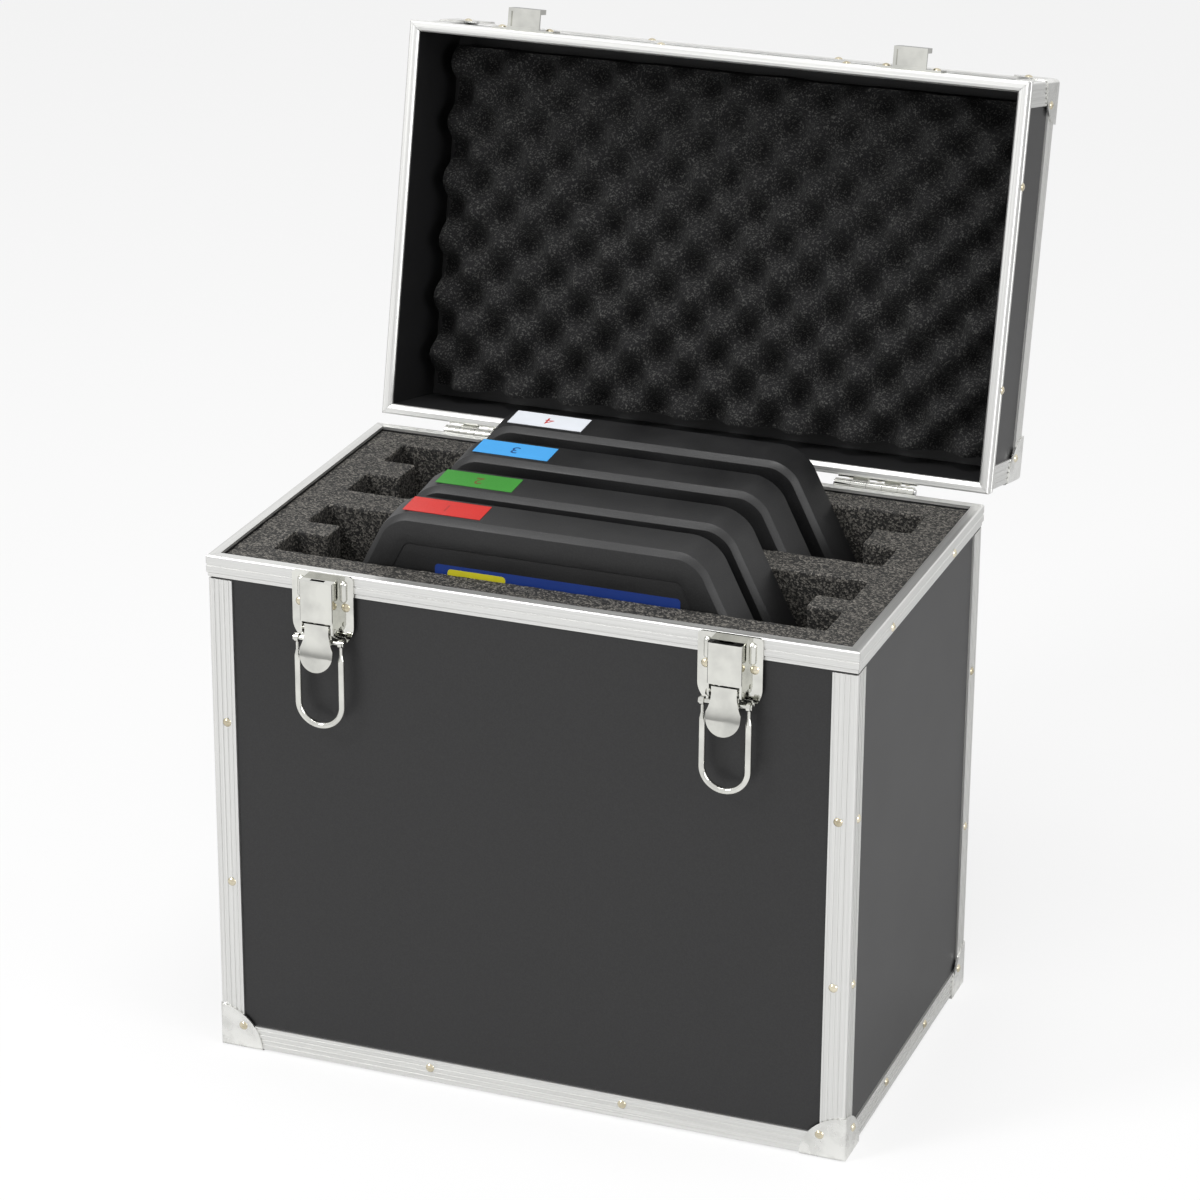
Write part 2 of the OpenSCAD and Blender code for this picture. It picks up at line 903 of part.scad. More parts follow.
// Place of a mesh line: the outer ones on the edge, the rest evenly inside the border
function egg_line(k, count, half) =
    k == 0 ? -half
    : k == count ? half
    : (half - egg_border) * (2 * (k - 1) / (count - 2) - 1);

function egg_point(i, j) =
    let (x = egg_line(i, egg_cols, egg_x))
    let (y = egg_line(j, egg_rows, egg_y))
    let (edge = i == 0 || j == 0 || i == egg_cols || j == egg_rows)
    let (wave = cos(360 * (x - egg_phase[0]) / egg_pitch) * cos(360 * (y - egg_phase[1]) / egg_pitch))
    [x, y, egg_peak_z + egg_depth * (edge ? 1 : (1 - wave) / 2)];

module lid_foam() {
    row = egg_cols + 1;
    count = row * (egg_rows + 1);
    top = [for (j = [0 : egg_rows], i = [0 : egg_cols]) egg_point(i, j)];
    corners = [
        for (p = [top[0], top[egg_cols], top[count - 1], top[count - row]])
            [p[0], p[1], lid_ceiling_z - fit]
    ];
    surface = [
        for (j = [0 : egg_rows - 1], i = [0 : egg_cols - 1], half = [0, 1])
            let (a = j * row + i)
            half == 0 ? [a, a + 1, a + row] : [a + 1, a + row + 1, a + row]
    ];
    sides = [
        concat([count, count + 1], [for (i = [egg_cols : -1 : 0]) i]),
        concat([count + 1, count + 2], [for (j = [egg_rows : -1 : 0]) j * row + egg_cols]),
        concat([count + 2, count + 3], [for (i = [0 : egg_cols]) egg_rows * row + i]),
        concat([count + 3, count], [for (j = [0 : egg_rows]) j * row])
    ];
    color(foam)
        on_lid()
            polyhedron(
                points = concat(top, corners),
                faces = concat(surface, sides, [[count + 3, count + 2, count + 1, count]]),
                convexity = 6
            );
}

// ---------------------------------------------------------------- handle

module at_handle() {
    on_lid() translate([0, handle_y, lid_skin_z + handle_lift]) children();
}

// Saddle brackets riveted to the lid, bored for the bail's ends
module handle_brackets() {
    color(chrome)
        on_lid()
            difference() {
                for (s = [-1, 1])
                    translate([s * bracket_x, handle_y, lid_skin_z]) {
                        translate([-bracket_plate[0] / 2, -bracket_plate[1] / 2, 0]) cube(bracket_plate);
                        rotate([90, 0, 90])
                            linear_extrude(bracket_w, center = true)
                                difference() {
                                    union() {
                                        translate([-6, 0]) square([12, handle_lift]);
                                        translate([0, handle_lift]) circle(r = 6);
                                    }
                                    translate([0, handle_lift]) circle(r = handle_wire_r + running);
                                }
                    }
                bracket_rivet_places() rivet_hole();
            }
}

module handle_bail() {
    color(chrome)
        at_handle()
            rotate([handle_hang, 0, 0]) {
                translate([0, handle_reach, 0])
                    rotate([0, 90, 0])
                        cylinder(r = handle_wire_r, h = handle_w, center = true);
                for (s = [-1, 1]) {
                    translate([s * handle_w / 2, 0, 0])
                        rotate([-90, 0, 0])
                            cylinder(r = handle_wire_r, h = handle_reach);
                    translate([s * handle_w / 2, handle_reach, 0]) sphere(r = handle_wire_r);
                    translate([s * handle_w / 2, 0, 0]) sphere(r = handle_wire_r);
                    translate([s * (handle_w / 2 + 6), 0, 0])
                        rotate([0, 90, 0])
                            cylinder(r = handle_wire_r, h = 12, center = true);
                }
            }
}

// Moulded grip round the bail's cross bar, with finger rings at its ends
module handle_grip() {
    grip_l = handle_w - 16;
    color("#1d1d1e")
        at_handle()
            rotate([handle_hang, 0, 0])
                translate([0, handle_reach, 0])
                    rotate([0, 90, 0])
                        rotate_extrude()
                            polygon([
                                [handle_wire_r + running, -grip_l / 2], [handle_grip_r - 1, -grip_l / 2],
                                [handle_grip_r, -grip_l / 2 + 1], [handle_grip_r, -grip_l / 2 + 6],
                                [handle_grip_r - 0.8, -grip_l / 2 + 9], [handle_grip_r - 0.8, grip_l / 2 - 9],
                                [handle_grip_r, grip_l / 2 - 6], [handle_grip_r, grip_l / 2 - 1],
                                [handle_grip_r - 1, grip_l / 2], [handle_wire_r + running, grip_l / 2]
                            ]);
}

// ---------------------------------------------------------------- foam insert

module foam_floor() {
    color(foam)
        block([-room_x + fit, -room_y + fit, base_z + base_t + fit], [room_x - fit, room_y - fit, foam_floor_top]);
}

// Full-width wall of foam between two depths
module foam_wall(front, back) {
    block([-room_x + fit, front, foam_floor_top + fit], [room_x - fit, back, foam_top]);
}

module foam_front_wall() {
    color(foam) foam_wall(-room_y + fit, front_wall_y);
}

module foam_divider() {
    color(foam) foam_wall(divider_front, divider_back);
}

module foam_rear_wall() {
    color(foam) foam_wall(rear_wall_y, room_y - fit);
}

// Blocks at both ends of each double pocket, with the finger that parts its pads
module foam_ends() {
    low = foam_floor_top + fit;
    color(foam)
        for (s = [0, 1])
            mirror([s, 0, 0]) {
                block([-room_x + fit, front_wall_y + fit, low], [-pocket_x, divider_front - fit, foam_top]);
                block([-room_x + fit, divider_back + fit, low], [-pocket_x, rear_wall_y - fit, foam_top]);
                block([-pocket_x + fit, finger_1[0], low], [-finger_x, finger_1[1], foam_top]);
                block([-pocket_x + fit, finger_2[0], low], [-finger_x, finger_2[1], foam_top]);
            }
}

// ---------------------------------------------------------------- scale pads

// Arc of a rounded corner: its middle, radius, first and last angle and steps
function arc(mid, r, from, to, steps) =
    [for (k = [0 : steps]) let (a = from + (to - from) * k / steps) mid + r * [cos(a), sin(a)]];

// Upper right quarter of a pad's outline, drawn in by an amount: the blunt corner
// between side and shoulder, then the round corner between shoulder and top edge
function pad_quarter(inset, r) =
    let (side = pad_half - inset)
    let (top = pad_top - inset * tan(45 - pad_slope / 2))
    let (knee = pad_half - pad_drop - inset * tan(pad_slope / 2))
    concat(
        arc([side - r, knee - r * tan(pad_slope / 2)], r, 0, pad_slope, 2),
        arc([top - r * tan(45 - pad_slope / 2), side - r], r, pad_slope, 90, 5)
    );

function flip(points, sx, sy) = [for (p = points) [p[0] * sx, p[1] * sy]];
function backwards(points) = [for (i = [len(points) - 1 : -1 : 0]) points[i]];

module pad_outline(inset, r) {
    quarter = pad_quarter(inset, r);
    polygon(concat(
        quarter,
        backwards(flip(quarter, -1, 1)),
        flip(quarter, -1, -1),
        backwards(flip(quarter, 1, -1))
    ));
}

// Extrudes a pad outline from one depth to another behind the front face
module pad_slab(from, to, inset, r) {
    translate([0, to, 0])
        rotate([90, 0, 0])
            linear_extrude(to - from)
                pad_outline(inset, r);
}

module at_pad(i) {
    translate([-pad_shift, pad_y[i - 1], pad_z]) children();
}

// Cast deck: bevelled face, drafted walls, recessed grip panel, ribbed inside
module pad_deck(i) {
    thin = 0.01;
    color("#1c1c1c")
        at_pad(i)
            difference() {
                hull() {
                    pad_slab(0, thin, pad_draft + pad_bevel, deck_corner_r);
                    pad_slab(pad_bevel, pad_bevel + thin, pad_draft, deck_corner_r);
                    pad_slab(pad_t - thin, pad_t, 0, back_corner_r);
                }
                pad_slab(-1, grip_depth, grip_inset, deck_corner_r);
                pad_slab(deck_face_t + rib_h, pad_t + 1, deck_wall_t, deck_corner_r);
                pad_slab(pad_t - base_plate_t - fit, pad_t + 1, base_inset - fit, back_corner_r);
                difference() {
                    pad_slab(deck_face_t, deck_face_t + rib_h + 1, deck_wall_t, deck_corner_r);
                    for (k = [-2 : 2]) {
                        block([k * rib_pitch - rib_t / 2, 0, -pad_half], [k * rib_pitch + rib_t / 2, pad_t, pad_half]);
                        block([-pad_half, 0, k * rib_pitch - rib_t / 2], [pad_half, pad_t, k * rib_pitch + rib_t / 2]);
                    }
                }
            }
}

// A child at each of a pad's four load points
module pad_corners(x, z) {
    for (sx = [-1, 1], sz = [-1, 1])
        translate([sx * x, 0, sz * z]) children();
}

// Flat back cover with a clearance hole round each foot
module pad_base(i) {
    color("#262626")
        at_pad(i)
            difference() {
                pad_slab(pad_t - base_plate_t, pad_t, base_inset, back_corner_r);
                pad_corners(foot_x, cell_z)
                    translate([0, pad_t, 0])
                        rotate([90, 0, 0])
                            cylinder(r = foot_r + 0.8, h = 10, center = true);
            }
}

// Four bending-beam load cells, each necked by two holes near its middle
module pad_cells(i) {
    low = deck_face_t + rib_h + fit;
    color("#b9bcc0")
        at_pad(i)
            for (sx = [-1, 1], sz = [-1, 1])
                translate([sx * cell_x, low, sz * cell_z])
                    difference() {
                        translate([-cell_size[0] / 2, 0, -cell_size[2] / 2]) cube(cell_size);
                        for (hole = [-5, 5])
                            translate([hole, cell_size[1] / 2, 0])
                                cylinder(r = 3.4, h = cell_size[2] + 2, center = true);
                    }
}

// Rubber-faced feet under the load cells' free ends
module pad_feet(i) {
    cell_back = deck_face_t + rib_h + fit + cell_size[1];
    disc_t = 4.4;
    color("#151515")
        at_pad(i)
            pad_corners(foot_x, cell_z)
                translate([0, pad_t + foot_proud, 0])
                    rotate([90, 0, 0]) {
                        cylinder(r = foot_r, h = disc_t);
                        translate([0, 0, disc_t])
                            cylinder(r = 6, h = pad_t + foot_proud - cell_back - disc_t - fit);
                    }
}

// Coloured sticker on the top wall, left of the middle
module pad_label(i) {
    draft = atan2(pad_draft, pad_t - pad_bevel);
    color(label_colours[i - 1])
        at_pad(i)
            translate([label_x, pad_bevel, pad_half - pad_draft])
                rotate([draft, 0, 0])
                    translate([0, label_in, 0.02])
                        cube([label_w, label_d, label_t]);
}

// ---------------------------------------------------------------- assembly

base_panel();
front_panel();
rear_panel();
left_panel();
right_panel();
corner_posts();
base_rails();
body_rims();
foot_caps();
body_rivets();
latch_plate_left();
latch_plate_right();
hinge_leaves_body();
hinge_pins();
foam_floor();
foam_front_wall();
foam_divider();
foam_rear_wall();
foam_ends();
lid_top_panel();
lid_front_wall();
lid_rear_wall();
lid_left_wall();
lid_right_wall();
lid_rims();
lid_edge_rails();
lid_posts();
lid_caps();
lid_rivets();
strikes();
hinge_leaves_lid();
lid_foam();
handle_brackets();
handle_grip();
handle_bail();
latch_lever_left();
latch_lever_right();
latch_bail_left();
latch_bail_right();
pad_deck(1);  // pad_1_deck
pad_base(1);  // pad_1_base
pad_cells(1);  // pad_1_cells
pad_feet(1);  // pad_1_feet
pad_label(1);  // pad_1_label
pad_deck(2);  // pad_2_deck
pad_base(2);  // pad_2_base
pad_cells(2);  // pad_2_cells
pad_feet(2);  // pad_2_feet
pad_label(2);  // pad_2_label
pad_deck(3);  // pad_3_deck
pad_base(3);  // pad_3_base
pad_cells(3);  // pad_3_cells
pad_feet(3);  // pad_3_feet
pad_label(3);  // pad_3_label
pad_deck(4);  // pad_4_deck
pad_base(4);  // pad_4_base
pad_cells(4);  // pad_4_cells
pad_feet(4);  // pad_4_feet
pad_label(4);  // pad_4_label
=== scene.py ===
# %% [markdown]
# # A carrying case with four scale pads
# This file dresses a finished CAD model for rendering. The CAD model holds the case,
# its hardware and the pads as plain solids. Here they get their real finishes, and the
# soft and cast pieces get fuller shapes. Lengths are in metres, with Z up and the front
# of the case towards -Y.

# %% Load the CAD model
import json
import math

import bmesh
import bpy
from mathutils import Matrix, Vector, noise


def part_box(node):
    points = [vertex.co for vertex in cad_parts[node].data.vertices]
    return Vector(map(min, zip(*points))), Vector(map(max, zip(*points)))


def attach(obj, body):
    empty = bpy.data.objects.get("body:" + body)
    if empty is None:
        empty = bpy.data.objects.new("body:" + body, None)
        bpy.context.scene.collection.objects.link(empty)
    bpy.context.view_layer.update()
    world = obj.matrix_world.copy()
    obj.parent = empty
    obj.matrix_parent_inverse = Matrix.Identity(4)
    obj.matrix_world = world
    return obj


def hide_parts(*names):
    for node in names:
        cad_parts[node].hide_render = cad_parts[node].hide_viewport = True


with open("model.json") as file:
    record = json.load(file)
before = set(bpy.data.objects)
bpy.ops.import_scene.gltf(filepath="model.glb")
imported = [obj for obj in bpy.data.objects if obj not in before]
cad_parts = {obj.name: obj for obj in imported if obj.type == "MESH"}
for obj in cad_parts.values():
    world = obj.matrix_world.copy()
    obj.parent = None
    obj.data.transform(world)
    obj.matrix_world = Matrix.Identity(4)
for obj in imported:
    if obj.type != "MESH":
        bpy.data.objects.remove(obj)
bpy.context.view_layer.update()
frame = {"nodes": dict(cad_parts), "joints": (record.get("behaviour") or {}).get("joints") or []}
nodes = frame["nodes"]
joints = {joint["name"]: joint for joint in frame["joints"]}
MM = 0.001

# %% [markdown]
# ## The camera
# A long lens from a little over two metres away keeps the case's edges nearly parallel.
# The camera looks at the front and the right-hand side from above, so that the pockets,
# the pads and the inside of the lid all show. Its turn is given as the three angles that
# a photographer would set on a tripod head: pan, tilt and a slight roll.

# %% Camera
CAMERA_PLACE = (0.929, -2.457, 1.380)
CAMERA_PAN = math.radians(20.73)
CAMERA_TILT = math.radians(22.08)
CAMERA_ROLL = math.radians(0.34)
CAMERA_ANGLE = math.radians(16.38)

scene = bpy.context.scene
lens = bpy.data.cameras.new("camera")
lens.angle = CAMERA_ANGLE
camera = bpy.data.objects.new("camera", lens)
scene.collection.objects.link(camera)
camera.matrix_world = (
    Matrix.Translation(CAMERA_PLACE)
    @ Matrix.Rotation(CAMERA_PAN, 4, "Z")
    @ Matrix.Rotation(math.radians(90) - CAMERA_TILT, 4, "X")
    @ Matrix.Rotation(CAMERA_ROLL, 4, "Z")
)
scene.camera = camera
print("camera", round(math.degrees(CAMERA_ANGLE), 2), "degrees wide")

# %% [markdown]
# ## Materials
# Every finish is a small network of nodes round one Principled shader. Patterns follow
# Object coordinates, which are metres here, so a noise with a scale of 1000 has grains of
# about one millimetre. One helper adds any node, sets it and wires it up.

# %% Material helpers
def linear(code):
    """The linear colour for an sRGB hex code such as #d5332d."""
    channels = [int(code[i : i + 2], 16) / 255 for i in (1, 3, 5)]
    return (*[c / 12.92 if c <= 0.04045 else ((c + 0.055) / 1.055) ** 2.4 for c in channels], 1)


def add(tree, kind, inputs=None, **settings):
    """Adds a shader node with its settings. An input takes a value or another node's output."""
    made = tree.nodes.new("ShaderNode" + kind)
    for name, value in settings.items():
        setattr(made, name, value)
    for key, value in (inputs or {}).items():
        if isinstance(value, bpy.types.NodeSocket):
            tree.links.new(value, made.inputs[key])
        else:
            made.inputs[key].default_value = value
    return made


def material(name, **sockets):
    """A new material with these constants on its Principled shader: (material, tree, shader)."""
    made = bpy.data.materials.new(name)
    made.use_nodes = True
    shader = made.node_tree.nodes["Principled BSDF"]
    for key, value in sockets.items():
        shader.inputs[key.replace("_", " ")].default_value = value
    return made, made.node_tree, shader


def grain(size):
    """The noise scale that gives grains of this size in metres."""
    return 1 / size


def place(tree):
    """Object coordinates, in metres."""
    return add(tree, "TexCoord").outputs["Object"]


def blend(tree, share, first, second):
    """A colour between two others, by a share from 0 to 1."""
    mix = add(tree, "Mix", {0: share, 6: first, 7: second}, data_type="RGBA")
    return mix.outputs[2]


def ranged(tree, value, low, high, to_low=0, to_high=1):
    """A value mapped from one range to another, and clamped."""
    inputs = {"Value": value, 1: low, 2: high, 3: to_low, 4: to_high}
    return add(tree, "MapRange", inputs).outputs[0]


def bump(tree, shader, height, depth, strength=1.0):
    """Gives the shader a bump whose full height is depth metres."""
    inputs = {"Height": height, "Distance": depth, "Strength": strength}
    tree.links.new(add(tree, "Bump", inputs).outputs[0], shader.inputs["Normal"])


# %% [markdown]
# ### Laminate
# The panels are plywood faced with black high-pressure laminate. Its press plate leaves a
# fine pebble of about a millimetre that spreads the light, and handling leaves very faint
# smoother patches. A noise for the pebble and a broad one for the patches are enough.

# %% Laminate
LAMINATE_PEBBLE = 0.9 * MM
LAMINATE_PATCH = 70 * MM


def laminate_finish():
    made, tree, shader = material("pressed_laminate", IOR=1.5)
    at = place(tree)
    pebble = add(tree, "TexNoise", {"Vector": at, "Scale": grain(LAMINATE_PEBBLE), "Detail": 2.0})
    patch = add(tree, "TexNoise", {"Vector": at, "Scale": grain(LAMINATE_PATCH), "Detail": 3.0})
    shade = ranged(tree, pebble.outputs["Fac"], 0.35, 0.65)
    colour = blend(tree, shade, linear("#111112"), linear("#1b1b1c"))
    tree.links.new(colour, shader.inputs["Base Color"])
    rough = ranged(tree, patch.outputs["Fac"], 0.2, 0.8, 0.44, 0.47)
    tree.links.new(rough, shader.inputs["Roughness"])
    bump(tree, shader, pebble.outputs["Fac"], 0.06 * MM, 0.6)
    return made


laminate = laminate_finish()
print(laminate.name)

# %% [markdown]
# ### Anodised aluminium
# The edging is extruded, and the die draws faint lines along each bar before it is
# anodised. The lines are a noise that is squeezed across the bar and stretched along it.
# Bars run three ways, and front and side bars meet in mitres, so the noise is made for
# both ways, and the nearer outer face of the case picks one of them. The lid's bars are
# turned back to the closed lid first, where the same rule holds.

# %% Anodised aluminium
LINE_WIDTH = 0.7 * MM
LINE_LENGTH = 180 * MM
_, rim_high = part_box("body_rims")
lid_joint = joints["lid_hinge"]
LID_PIN = Vector(lid_joint["pos_m"])
LID_OPEN = math.radians(-min(lid_joint["range_deg"]))
LID_TURN = Matrix.Rotation(LID_OPEN, 4, Vector(lid_joint["axis"]))
OPEN_LID = Matrix.Translation(LID_PIN) @ LID_TURN @ Matrix.Translation(-LID_PIN)


def drawn_lines(tree, at, along):
    """Noise lines that run along one axis."""
    squeeze = [1 / LINE_WIDTH] * 3
    squeeze[along] = 1 / LINE_LENGTH
    stretched = add(tree, "Mapping", {"Vector": at, "Scale": squeeze})
    inputs = {"Vector": stretched.outputs[0], "Scale": 1.0, "Detail": 2.0}
    return add(tree, "TexNoise", inputs).outputs["Fac"]


def aluminium_finish(name, upright=False, on_lid=False):
    made, tree, shader = material(name, Metallic=1.0)
    at = place(tree)
    if on_lid:
        closed = OPEN_LID.inverted()
        turned = {"Vector": at, "Location": closed.translation, "Rotation": closed.to_euler()}
        at = add(tree, "Mapping", turned).outputs[0]
    if upright:
        lines = drawn_lines(tree, at, 2)
    else:
        axes = add(tree, "SeparateXYZ", {0: at})
        from_side = add(tree, "Math", {0: axes.outputs[0]}, operation="ABSOLUTE")
        from_front = add(tree, "Math", {0: axes.outputs[1]}, operation="ABSOLUTE")
        gap = add(tree, "Math", {0: from_side.outputs[0], 1: from_front.outputs[0]}, operation="SUBTRACT")
        corner = rim_high.x - rim_high.y
        side_bar = add(tree, "Math", {0: gap.outputs[0], 1: corner}, operation="GREATER_THAN")
        pair = {0: side_bar.outputs[0], 2: drawn_lines(tree, at, 0), 3: drawn_lines(tree, at, 1)}
        lines = add(tree, "Mix", pair).outputs[0]
    tone = ranged(tree, lines, 0.3, 0.7)
    tree.links.new(blend(tree, tone, linear("#cfcfcd"), linear("#dededc")), shader.inputs["Base Color"])
    tree.links.new(ranged(tree, lines, 0.3, 0.7, 0.36, 0.48), shader.inputs["Roughness"])
    bump(tree, shader, lines, 0.02 * MM, 0.5)
    return made


body_bars = aluminium_finish("extruded_anodised_aluminium")
body_uprights = aluminium_finish("extruded_anodised_aluminium_upright", upright=True)
lid_bars = aluminium_finish("extruded_anodised_aluminium_lid", on_lid=True)
lid_uprights = aluminium_finish("extruded_anodised_aluminium_lid_upright", upright=True, on_lid=True)
print("lid open", round(math.degrees(LID_OPEN), 1), "degrees")

# %% [markdown]
# ### Plated steel
# The latches, hinges and strikes are bright nickel-chrome on pressed steel: a clean mirror
# with faint smudges and the slight waviness of pressed sheet. The corner caps have the
# same plating over a coarser pressing, so they look satin. The rivets are plated too, in a
# warmer nickel that lets the brass below it tint the light.

# %% Plated steel and rivets
SMUDGE = 14 * MM
SHEET_WAVE = 9 * MM


def plated_finish(name, dark, light, smooth, dull, wave_depth):
    made, tree, shader = material(name, Metallic=1.0)
    at = place(tree)
    smudge = add(tree, "TexNoise", {"Vector": at, "Scale": grain(SMUDGE), "Detail": 4.0})
    wave = add(tree, "TexNoise", {"Vector": at, "Scale": grain(SHEET_WAVE), "Detail": 1.0})
    share = ranged(tree, smudge.outputs["Fac"], 0.4, 0.7)
    tree.links.new(blend(tree, share, linear(light), linear(dark)), shader.inputs["Base Color"])
    tree.links.new(ranged(tree, smudge.outputs["Fac"], 0.4, 0.7, smooth, dull), shader.inputs["Roughness"])
    bump(tree, shader, wave.outputs["Fac"], wave_depth, 0.3)
    return made


chrome = plated_finish("bright_chromed_steel", "#c4c4bf", "#d6d6d0", 0.04, 0.09, 0.12 * MM)
satin_caps = plated_finish("pressed_nickel_plated_steel", "#cdcdca", "#e6e6e3", 0.22, 0.34, 0.10 * MM)
drawn_pin = plated_finish("drawn_steel_pin", "#a6a6a6", "#c6c6c6", 0.25, 0.35, 0.02 * MM)
warm_rivets = plated_finish("warm_nickel_rivet", "#b5ab92", "#dbd3bd", 0.10, 0.20, 0.02 * MM)
print(chrome.name, satin_caps.name, warm_rivets.name)

# %% [markdown]
# ### Insert foam
# The insert is charcoal closed-cell polyethylene foam, sawn to shape. The saw opens cells
# of about a millimetre: each lies at its own angle and catches the light or doesn't, and
# that is painted into the colour as sparse bright glints on a dark ground. A Voronoi pattern
# is made for this, because every cell has a random value for its painted glint and a distance that makes
# its hollow.

# %% Insert foam
FOAM_CELL = 1.2 * MM


def insert_foam_finish():
    made, tree, shader = material("sawn_polyethylene_foam", Roughness=0.75, IOR=1.5)
    at = place(tree)
    cells = add(tree, "TexVoronoi", {"Vector": at, "Scale": grain(FOAM_CELL)})
    random_value = add(tree, "SeparateColor", {0: cells.outputs["Color"]}).outputs[0]
    fine = add(tree, "TexNoise", {"Vector": at, "Scale": grain(0.6 * MM), "Detail": 1.0})
    spread = add(tree, "Math", {0: random_value, 1: fine.outputs["Fac"]}, operation="MULTIPLY")
    # Painted glint: bright specks in the base colour stand in for sawn cells that catch the light.
    painted_glint = ranged(tree, spread.outputs[0], 0.22, 0.62)
    colour = blend(tree, painted_glint, linear("#0e0d0b"), linear("#85817a"))
    tree.links.new(colour, shader.inputs["Base Color"])
    bump(tree, shader, cells.outputs["Distance"], 0.5 * MM, 0.7)
    return made


insert_foam = insert_foam_finish()
print(insert_foam.name, "with cells of", FOAM_CELL / MM, "mm")

# %% [markdown]
# ### Lid foam
# The lid is lined with convoluted polyurethane foam. Its cells are finer and all open, so
# it is a matte black, with a lighter speck painted into the colour as a glint where a cell wall would
# catch the light.

# %% Lid foam
LID_FOAM_CELL = 0.9 * MM


def lid_foam_finish():
    made, tree, shader = material(
        "convoluted_polyurethane_foam", Roughness=0.95, IOR=1.4
    )
    at = place(tree)
    cells = add(tree, "TexVoronoi", {"Vector": at, "Scale": grain(LID_FOAM_CELL)})
    random_value = add(tree, "SeparateColor", {0: cells.outputs["Color"]}).outputs[0]
    # Painted glint: the brightest few cells get a lighter colour, standing in for cell walls that catch
    # the light.
    colour = blend(tree, ranged(tree, random_value, 0.7, 1.0), linear("#121213"), linear("#4a4a48"))
    tree.links.new(colour, shader.inputs["Base Color"])
    bump(tree, shader, cells.outputs["Distance"], 0.3 * MM, 0.6)
    return made


lid_foam = lid_foam_finish()
print(lid_foam.name)

# %% [markdown]
# ### Textured coating
# The pads are cast aluminium with a baked, finely wrinkled black coating. The wrinkle is
# about half a millimetre, too fine to see singly: it shows as a satin sheen, and its sandy
# sparkle on faces that catch the light is painted into the colour as lighter specks.

# %% Textured coating
WRINKLE = 0.8 * MM


def coating_finish():
    made, tree, shader = material("wrinkle_coated_cast_aluminium", IOR=1.5)
    at = place(tree)
    wrinkle = add(tree, "TexNoise", {"Vector": at, "Scale": grain(WRINKLE), "Detail": 2.0})
    cloud = add(tree, "TexNoise", {"Vector": at, "Scale": grain(45 * MM), "Detail": 3.0})
    # Painted sparkle: the wrinkle noise lightens the base colour where its crests would catch the light.
    painted_glint = ranged(tree, wrinkle.outputs["Fac"], 0.45, 0.75)
    colour = blend(tree, painted_glint, linear("#070708"), linear("#1a1a1b"))
    tree.links.new(colour, shader.inputs["Base Color"])
    tree.links.new(ranged(tree, cloud.outputs["Fac"], 0.35, 0.65, 0.42, 0.54), shader.inputs["Roughness"])
    bump(tree, shader, wrinkle.outputs["Fac"], 0.12 * MM, 0.7)
    return made


coating = coating_finish()
print(coating.name)

# %% [markdown]
# ### Plastics, rubber and print
# The grip, back covers, feet and stickers are moulded or printed polymers. One recipe
# serves them all: a base colour with a faint cloud, a roughness that follows it and a fine
# surface grain. Only the numbers differ, from glossy vinyl to dull rubber.

# %% Plastics, rubber and print
def polymer_finish(name, code, roughness, grain_size, depth, cloud_share=0.12):
    made, tree, shader = material(name, IOR=1.5)
    at = place(tree)
    fine = add(tree, "TexNoise", {"Vector": at, "Scale": grain(grain_size), "Detail": 2.0})
    cloud = add(tree, "TexNoise", {"Vector": at, "Scale": grain(20 * MM), "Detail": 3.0})
    base = linear(code)
    darker = tuple(c * (1 - cloud_share) for c in base[:3]) + (1,)
    share = ranged(tree, cloud.outputs["Fac"], 0.35, 0.65)
    tree.links.new(blend(tree, share, darker, base), shader.inputs["Base Color"])
    rough = ranged(tree, fine.outputs["Fac"], 0.3, 0.7, roughness - 0.05, roughness + 0.05)
    tree.links.new(rough, shader.inputs["Roughness"])
    bump(tree, shader, fine.outputs["Fac"], depth, 0.5)
    return made


grip_plastic = polymer_finish("moulded_grip_plastic", "#18181a", 0.42, 0.8 * MM, 0.05 * MM)
cover_plastic = polymer_finish("moulded_back_cover_plastic", "#1f1f20", 0.55, 1.0 * MM, 0.08 * MM)
foot_rubber = polymer_finish("moulded_rubber", "#131313", 0.75, 0.9 * MM, 0.05 * MM)
cell_metal = plated_finish("machined_aluminium", "#a9abae", "#c9cbce", 0.30, 0.40, 0.02 * MM)
LABEL_CODES = {"red": "#c42b25", "green": "#3c8a34", "blue": "#4ea6e8", "white": "#e6eaf0"}
labels = {
    colour: polymer_finish(f"printed_vinyl_{colour}", code, 0.40, 1.2 * MM, 0.02 * MM, 0.05)
    for colour, code in LABEL_CODES.items()
}
INK_CODES = {"red": "#a3231f", "green": "#6e4a2a", "blue": "#1d3f78", "white": "#c04848"}
inks = {
    colour: polymer_finish(f"screen_ink_{colour}", code, 0.45, 1.2 * MM, 0.01 * MM, 0.05)
    for colour, code in INK_CODES.items()
}
band_blue = polymer_finish("printed_vinyl_band_blue", "#1d3a86", 0.40, 1.2 * MM, 0.02 * MM, 0.05)
band_yellow = polymer_finish("printed_vinyl_band_yellow", "#d9d02c", 0.40, 1.2 * MM, 0.02 * MM, 0.05)
print(len(labels), "sticker colours")

# %% [markdown]
# ### Which node gets which finish
# The rigid CAD solids already have their real shapes, so they stay, and a finish is put in
# their material slots.

